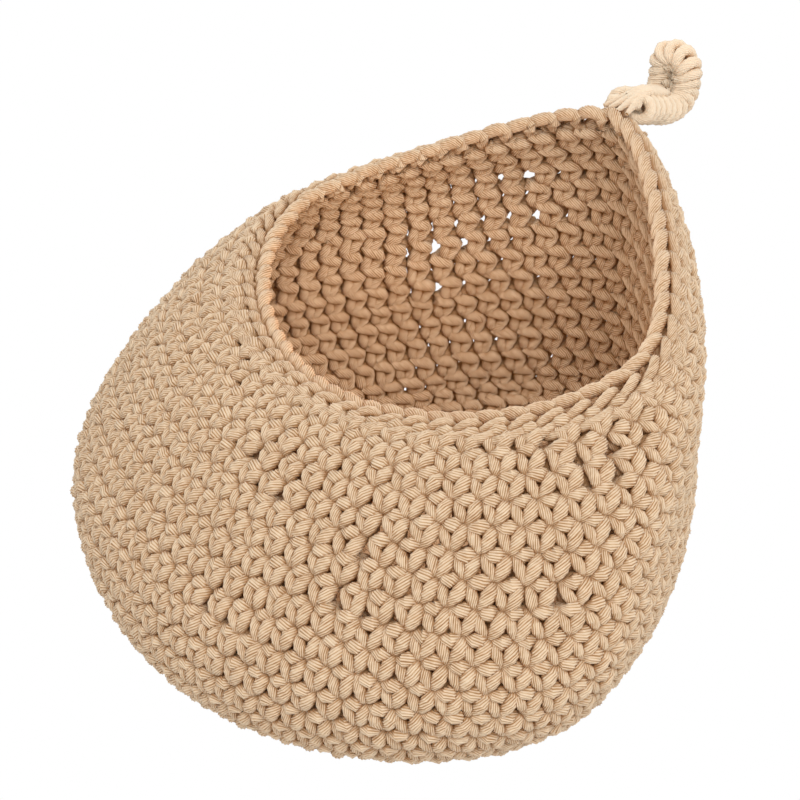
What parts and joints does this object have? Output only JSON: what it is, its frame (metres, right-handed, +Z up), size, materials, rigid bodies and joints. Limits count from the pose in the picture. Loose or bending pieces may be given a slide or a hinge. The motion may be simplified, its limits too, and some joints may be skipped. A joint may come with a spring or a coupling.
{
  "type": "wall basket",
  "caption": "Crocheted cotton pod basket with a flat base, a bulging wall drawn up to a pointed back, an open tilted mouth and a strap loop that hangs it on a wall.",
  "frame": {"origin": "middle of the flat underside of the base, where the basket stands on a table", "axes": "+Z up, -Y towards the low front of the mouth, +Y towards the pointed back with the hanging loop, +X to the right seen from the front"},
  "size_m": [0.181, 0.1998, 0.1286],
  "materials": {
    "cotton_base": "light beige cotton yarn, matt",
    "cotton_wall": "light beige cotton yarn in single crochet, matt",
    "cotton_edging": "light beige cotton yarn in slip stitches, matt",
    "cotton_loop": "light beige cotton yarn, matt"
  },
  "bodies": {
    "basket": {"base_round": "cotton_base", "pod_wall": "cotton_wall", "mouth_edging": "cotton_edging"},
    "loop": {"hanging_loop": "cotton_loop"}
  },
  "joints": [
    {"name": "loop_hinge", "type": "hinge", "parent": "basket", "child": "loop", "pos_m": [0, 0.0861, 0.11636], "axis": [1, 0, 0], "range_deg": [-40, 110]}
  ]
}
